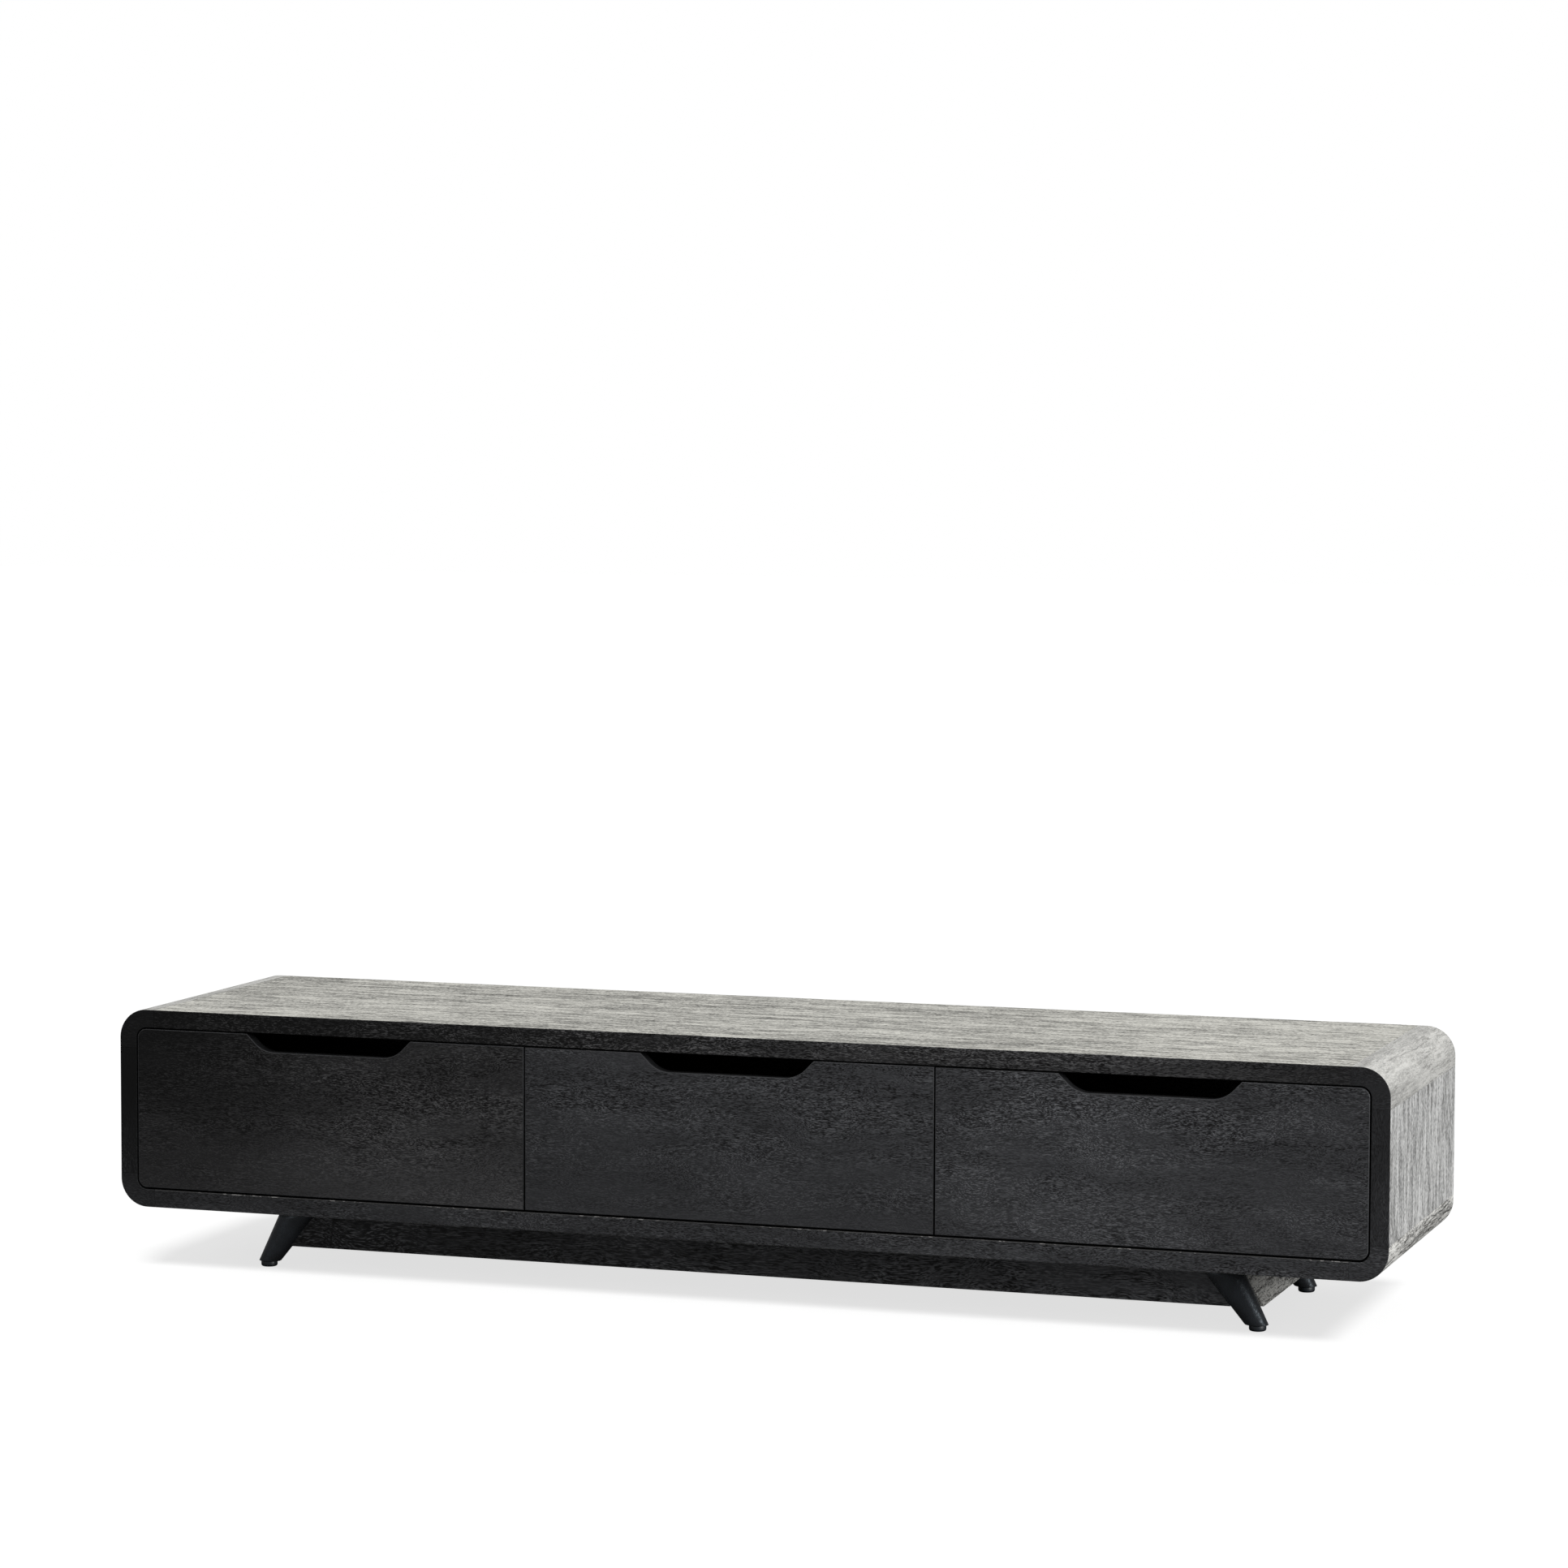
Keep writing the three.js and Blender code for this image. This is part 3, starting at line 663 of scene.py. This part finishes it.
def pull_half(centre, top, outwards):
    """Half the finger pull, from its floor outwards to the top edge."""
    run = PULL_ROUND * math.sin(PULL_SLANT)
    rise = PULL_DEPTH - PULL_ROUND * (1 - math.cos(PULL_SLANT))
    curve = PULL_WIDTH / 2 - rise / math.tan(PULL_SLANT) - run
    degrees = math.degrees(PULL_SLANT)
    points = arc(curve, top - PULL_DEPTH + PULL_ROUND, PULL_ROUND, -90, degrees - 90, ARC_STEPS)
    points.append((PULL_WIDTH / 2, top))
    return [(centre + outwards * u, v) for u, v in points]


# How strong the pale and the dark strokes are in each front, its tone, how much
# of its figure is left at its foot, its hue and the painted shade that runs over it.
FRONT_FIGURE_AND_PAINTED_SHADE = {
    "left": (0.58, 1.4, 1.60, 0.35, NEUTRAL, left_front_painted_shade),
    "centre": (0.80, 1.0, 2.30, 0.60, COOL, None),
    "right": (0.90, 1.0, 1.80, 0.75, COOL, right_front_painted_shade),
}


def drawer_front(bay, index):
    """An inset front with its finger pull. index is -1, 0 or 1 from left to
    right, and the outer two have round corners at their outer ends."""
    node = f"{bay}_drawer_front"
    low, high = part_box(node)
    centre = (low.x + high.x) / 2

    def corner(u, v, inward_u, inward_v, start, is_round):
        if not is_round:
            return [(u, v)]
        return arc(u + inward_u * FRONT_CORNER, v + inward_v * FRONT_CORNER,
                   FRONT_CORNER, start, start + 90, ARC_STEPS)

    outline = corner(low.x, low.z, 1, 1, 180, index < 0)
    outline += corner(high.x, low.z, -1, 1, 270, index > 0)
    outline += corner(high.x, high.z, -1, -1, 0, index > 0)
    outline += reversed(pull_half(centre, high.z, 1))
    outline += pull_half(centre, high.z, -1)
    outline += corner(low.x, high.z, 1, -1, 90, index < 0)
    bm = prism(outline, low.y, high.y)
    round_edges(bm, ARRIS, on_plane(1, low.y, high.y))
    pale, dark, tone, calm, hue, shade = FRONT_FIGURE_AND_PAINTED_SHADE[bay]
    face_wood = black_stain(f"black_stain_{bay}_front", "X", 10 + index, pale, dark, tone,
                            calm_below=calm, hue=hue, shade=shade)

    def choose(normal, centre_point):
        if abs(normal.y) > 0.98:
            return 0
        return 1 if normal.y < -0.1 else 2

    made = finish_mesh(bm, f"{node}_wood", [face_wood, BLACK_EDGE, BLACK_INSIDE], choose)
    return put(made, f"{bay}_drawer", "black_stain", node)


def front_screws(bay):
    """The screws inside the box that hold its front board on."""
    low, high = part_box(f"{bay}_box_front")
    width, height = high.x - low.x, high.z - low.z
    places = [Vector((low.x + width * u, high.y, low.z + height * v))
              for u in FRONT_SCREWS_ACROSS for v in FRONT_SCREWS_UP]
    screws(f"{bay}_front_screws", f"{bay}_drawer", places, Vector((0, 1, 0)), FRONT_SCREW,
           DARK_STEEL)


def runner_screws(bay, side, outwards):
    """The screws that hold a runner's inner channel to the side of the box."""
    low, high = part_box(f"{bay}_runner_drawer_{side}")
    web = high.x - RUNNER_STEEL if outwards < 0 else low.x + RUNNER_STEEL
    middle = (low.z + high.z) / 2
    places = [Vector((web, low.y + along, middle)) for along in RUNNER_SCREWS_AT]
    screws(f"{bay}_runner_screws_{side}", f"{bay}_drawer", places, Vector((outwards, 0, 0)),
           RUNNER_SCREW, SCREW_STEEL)


def make_drawers():
    for bay, index in (("left", -1), ("centre", 0), ("right", 1)):
        drawer_front(bay, index)
        along = stained_ply(f"box_wood_{bay}_long", "X", 20 + index)
        deep = stained_ply(f"box_wood_{bay}_deep", "Y", 30 + index)
        bottom = stained_ply(f"box_wood_{bay}_bottom", "X", 40 + index, shows_veneers=False)
        for node, material in ((f"{bay}_box_front", along), (f"{bay}_box_back", along),
                               (f"{bay}_box_bottom", bottom), (f"{bay}_box_side_left", deep),
                               (f"{bay}_box_side_right", deep)):
            dress_node(node, material)
        for side, outwards in (("left", -1), ("right", 1)):
            for member in ("cabinet", "middle", "drawer"):
                dress_node(f"{bay}_runner_{member}_{side}", STEEL, 0.3 * MM)
            runner_screws(bay, side, outwards)
        front_screws(bay)


# ---------------------------------------------------------------------- base

def leg_ring(bm, side, centre_top, height, inset):
    """One level ring of the raked cone, at a height above the floor."""
    axis = Vector((-side * LEG_RAKE, 0, 1)).normalized()
    first = Vector((0, 1, 0))
    second = axis.cross(first)
    rise = centre_top.z - LEG_END_HEIGHT
    flare = (LEG_TOP_RADIUS - LEG_END_RADIUS) / rise * axis.z
    ring = []
    for i in range(LEG_SIDES):
        angle = 2 * math.pi * i / LEG_SIDES
        outwards = math.cos(angle) * first + math.sin(angle) * second
        radius_top = LEG_TOP_RADIUS - inset
        along = (height - centre_top.z - radius_top * outwards.z) / (axis.z + flare * outwards.z)
        point = centre_top + along * axis + (radius_top + flare * along) * outwards
        ring.append(bm.verts.new(point))
    return ring


def leg(node, side):
    """A tapered leg that leans outwards, level at both ends, with a small
    rounded rim at its foot."""
    low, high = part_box(node)
    glide_low, glide_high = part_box(node.replace("leg", "glide"))
    glide_x = (glide_low.x + glide_high.x) / 2
    rise = carcase_low.z - LEG_END_HEIGHT
    centre_top = Vector((glide_x - side * LEG_RAKE * rise, (low.y + high.y) / 2, carcase_low.z))
    bm = bmesh.new()
    levels = []
    for i in range(LEG_RIM_STEPS + 1):
        angle = math.pi / 2 * i / LEG_RIM_STEPS
        levels.append((LEG_END_HEIGHT + LEG_RIM * (1 - math.cos(angle)),
                       LEG_RIM * (1 - math.sin(angle))))
    levels += [(LEG_END_HEIGHT + (high.z - LEG_END_HEIGHT) * t, 0.0) for t in LEG_LEVELS]
    rings = [leg_ring(bm, side, centre_top, height, inset) for height, inset in levels]
    for lower, upper in zip(rings, rings[1:]):
        for i in range(LEG_SIDES):
            j = (i + 1) % LEG_SIDES
            bm.faces.new((lower[i], lower[j], upper[j], upper[i]))
    bm.faces.new(rings[0])
    bm.faces.new(rings[-1])
    made = finish_mesh(bm, f"{node}_turned", [LACQUER])
    return put(made, "carcase", "black_lacquer", node)


def lathe(bm, profile, centre, sides=48, axis=Vector((0, 0, 1))):
    """Turns (radius, height) points about an axis through centre."""
    turn = axis.to_track_quat("Z", "Y")
    rings = []
    for radius, height in profile:
        ring = []
        for i in range(sides):
            angle = 2 * math.pi * i / sides
            point = Vector((radius * math.cos(angle), radius * math.sin(angle), height))
            ring.append(bm.verts.new(centre + turn @ point))
        rings.append(ring)
    for lower, upper in zip(rings, rings[1:]):
        for i in range(sides):
            j = (i + 1) % sides
            bm.faces.new((lower[i], lower[j], upper[j], upper[i]))
    bm.faces.new(rings[0])
    bm.faces.new(rings[-1])


def screws(name, body, places, axis, size, steel):
    """Pan-head screws, each a dome with a sunk drive, standing on a surface."""
    bm = bmesh.new()
    profile = [(r * size, h * size) for r, h in SCREW_HEAD]
    for place in places:
        lathe(bm, profile, place, sides=24, axis=axis)
    made = finish_mesh(bm, name, [steel])
    return put(made, body, "zinc_steel")


def glide(node):
    """A round glide with a dimple under it and a rounded foot."""
    low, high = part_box(node)
    centre = Vector(((low.x + high.x) / 2, (low.y + high.y) / 2, low.z))
    radius = (high.x - low.x) / 2
    top = LEG_END_HEIGHT - GLIDE_GAP
    profile = list(GLIDE_DIMPLE)
    profile += arc(radius - GLIDE_RIM, GLIDE_RIM, GLIDE_RIM, -90, 0, 6)
    profile += [(radius, top - GLIDE_CHAMFER), (radius - GLIDE_CHAMFER, top)]
    bm = bmesh.new()
    lathe(bm, profile, centre)
    made = finish_mesh(bm, f"{node}_moulded", [PLASTIC])
    return put(made, "carcase", "glide_plastic", node)


def make_base():
    for end in ("front", "back"):
        dress_node(f"apron_{end}", BLACK_APRON, 0.8 * MM)
    for side, sideways in (("left", -1), ("right", 1)):
        dress_node(f"apron_{side}", GREY_APRON_PAINTED_SHADE, 0.8 * MM)
        for end in ("front", "back"):
            leg(f"leg_{end}_{side}", sideways)
            glide(f"glide_{end}_{side}")


# --------------------------------------------------------------- stage, light

# The camera: its place, its turn about Z, how far it looks down, its roll, and
# its focal length and sensor in millimetres.
CAMERA_PLACE = Vector((2.0673, -6.0773, 1.1726))
CAMERA_TURN = math.radians(18.744)
CAMERA_DIP = math.radians(4.300)
CAMERA_ROLL = math.radians(0.174)
CAMERA_LENS = 107.29
SENSOR = 36.0


def make_camera():
    data = bpy.data.cameras.new("camera")
    data.sensor_width = SENSOR
    data.lens = CAMERA_LENS
    camera = bpy.data.objects.new("camera", data)
    turn = Matrix.Rotation(CAMERA_TURN, 4, "Z") @ Matrix.Rotation(math.pi / 2 - CAMERA_DIP, 4, "X")
    camera.matrix_world = (Matrix.Translation(CAMERA_PLACE) @ turn
                           @ Matrix.Rotation(CAMERA_ROLL, 4, "Z"))
    bpy.context.scene.collection.objects.link(camera)
    bpy.context.scene.camera = camera


# Floor, sky and suns.
FLOOR_SIZE = 60.0
FLOOR_GLOW = 0.72
FLOOR_WHITE = 0.30
SKY_LIGHT = 0.32
OVERHEAD_LIGHT = 2.75
OVERHEAD_SPREAD = math.radians(60)
FLOOR_LIGHT = 2.9
FLOOR_LIGHT_SPREAD = math.radians(23)
FLOOR_LIGHT_LEAN = Vector((0.40, -0.57, 1.0))

# Soft boxes: the key at the right, and the legs' own fill at the front left.
KEY_PLACE = (3.5, -1.0, 0.8)
KEY_AIM = (0.7, 0.0, 0.2)
KEY_SIZE = (1.2, 0.9)
KEY_WATTS = 74
FILL_PLACE = (-1.6, -2.2, 0.25)
FILL_AIM = (-0.6, 0.0, 0.05)
FILL_SIZE = (0.8, 0.5)
FILL_WATTS = 14


def make_floor():
    """A white floor. Its own glow keeps the shadow on it pale, and lights
    nothing but the floor's picture."""
    look = Look("floor_white")
    look.set(Base_Color=(FLOOR_WHITE, FLOOR_WHITE, FLOOR_WHITE, 1.0), Roughness=1.0)
    look.shader.inputs["Specular IOR Level"].default_value = 0.0
    look.shader.inputs["Emission Color"].default_value = (1.0, 1.0, 1.0, 1.0)
    look.shader.inputs["Emission Strength"].default_value = FLOOR_GLOW
    bm = bmesh.new()
    bmesh.ops.create_grid(bm, x_segments=1, y_segments=1, size=FLOOR_SIZE / 2)
    mesh = bpy.data.meshes.new("floor")
    bm.to_mesh(mesh)
    bm.free()
    mesh.materials.append(look.material)
    floor = bpy.data.objects.new("floor", mesh)
    bpy.context.scene.collection.objects.link(floor)
    lit_by_floor = bpy.data.collections.new("lit_by_floor")
    lit_by_floor.objects.link(floor)
    floor.light_linking.receiver_collection = lit_by_floor
    return floor


def sun(name, strength, spread, towards, receivers):
    """A sun that stands in the direction towards and lights only receivers."""
    light = bpy.data.lights.new(name, "SUN")
    light.energy = strength
    light.angle = spread
    source = bpy.data.objects.new(name, light)
    source.location = (0, 0, 3)
    source.rotation_euler = (-towards).to_track_quat("-Z", "Y").to_euler()
    bpy.context.scene.collection.objects.link(source)
    source.light_linking.receiver_collection = receivers
    return source


def soft_box(name, place, aim, size, watts, receivers):
    """A rectangular light at place, facing aim, that lights only receivers."""
    box = bpy.data.lights.new(name, "AREA")
    box.shape = "RECTANGLE"
    box.size, box.size_y = size
    box.energy = watts
    light = bpy.data.objects.new(name, box)
    light.location = place
    light.rotation_euler = (Vector(aim) - Vector(place)).to_track_quat("-Z", "Y").to_euler()
    bpy.context.scene.collection.objects.link(light)
    light.light_linking.receiver_collection = receivers


def make_light(floor):
    """Plain soft light: a pale sky that the camera sees as white, a broad
    overhead sun and a soft box at the right that both skip the floor, and a sun
    for the floor alone, which is returned."""
    world = bpy.data.worlds.new("studio")
    world.use_nodes = True
    tree = world.node_tree
    background = tree.nodes["Background"]
    background.inputs["Color"].default_value = (1.0, 1.0, 1.0, 1.0)
    seen = tree.nodes.new("ShaderNodeLightPath").outputs["Is Camera Ray"]
    strength = tree.nodes.new("ShaderNodeMath")
    strength.operation = "MULTIPLY_ADD"
    tree.links.new(seen, strength.inputs[0])
    strength.inputs[1].default_value = 1.0 - SKY_LIGHT
    strength.inputs[2].default_value = SKY_LIGHT
    tree.links.new(strength.outputs[0], background.inputs["Strength"])
    bpy.context.scene.world = world

    not_floor = bpy.data.collections.new("all_but_floor")
    not_floor.objects.link(floor)
    sun("overhead", OVERHEAD_LIGHT, OVERHEAD_SPREAD, Vector((0, 0, 1)), not_floor)
    soft_box("key", KEY_PLACE, KEY_AIM, KEY_SIZE, KEY_WATTS, not_floor)
    not_floor.collection_objects[0].light_linking.link_state = "EXCLUDE"
    only_floor = bpy.data.collections.new("only_floor")
    only_floor.objects.link(floor)
    return sun("floor_light", FLOOR_LIGHT, FLOOR_LIGHT_SPREAD, FLOOR_LIGHT_LEAN, only_floor)


def light_legs(legs):
    """A small soft box at the front left, for the lacquered legs alone."""
    lacquered = bpy.data.collections.new("lacquered")
    for piece in legs:
        lacquered.objects.link(piece)
    soft_box("fill", FILL_PLACE, FILL_AIM, FILL_SIZE, FILL_WATTS, lacquered)


def shade_floor(floor_light, shades):
    """The floor's own light is shaded by the lowest boards and the base alone,
    so that the shadow keeps close under the object."""
    blockers = bpy.data.collections.new("floor_shades")
    for piece in shades:
        blockers.objects.link(piece)
    floor_light.light_linking.blocker_collection = blockers


LEG_PIECES = [f"leg_{end}_{side}_turned" for end in ("front", "back") for side in ("left", "right")]
GLIDE_PIECES = [f"glide_{end}_{side}_moulded" for end in ("front", "back")
                for side in ("left", "right")]
FLOOR_SHADES = (
    ["bottom_panel_wood"]
    + [f"apron_{end}" for end in ("front", "back", "left", "right")]
    + LEG_PIECES
    + GLIDE_PIECES
    + [f"{bay}_box_bottom" for bay in ("left", "centre", "right")]
)

make_camera()
bpy.context.scene.view_settings.view_transform = "Standard"
floor_light = make_light(make_floor())
make_carcase()
make_drawers()
make_base()
shade_floor(floor_light, [bpy.data.objects[name] for name in FLOOR_SHADES])
light_legs([bpy.data.objects[name] for name in LEG_PIECES])
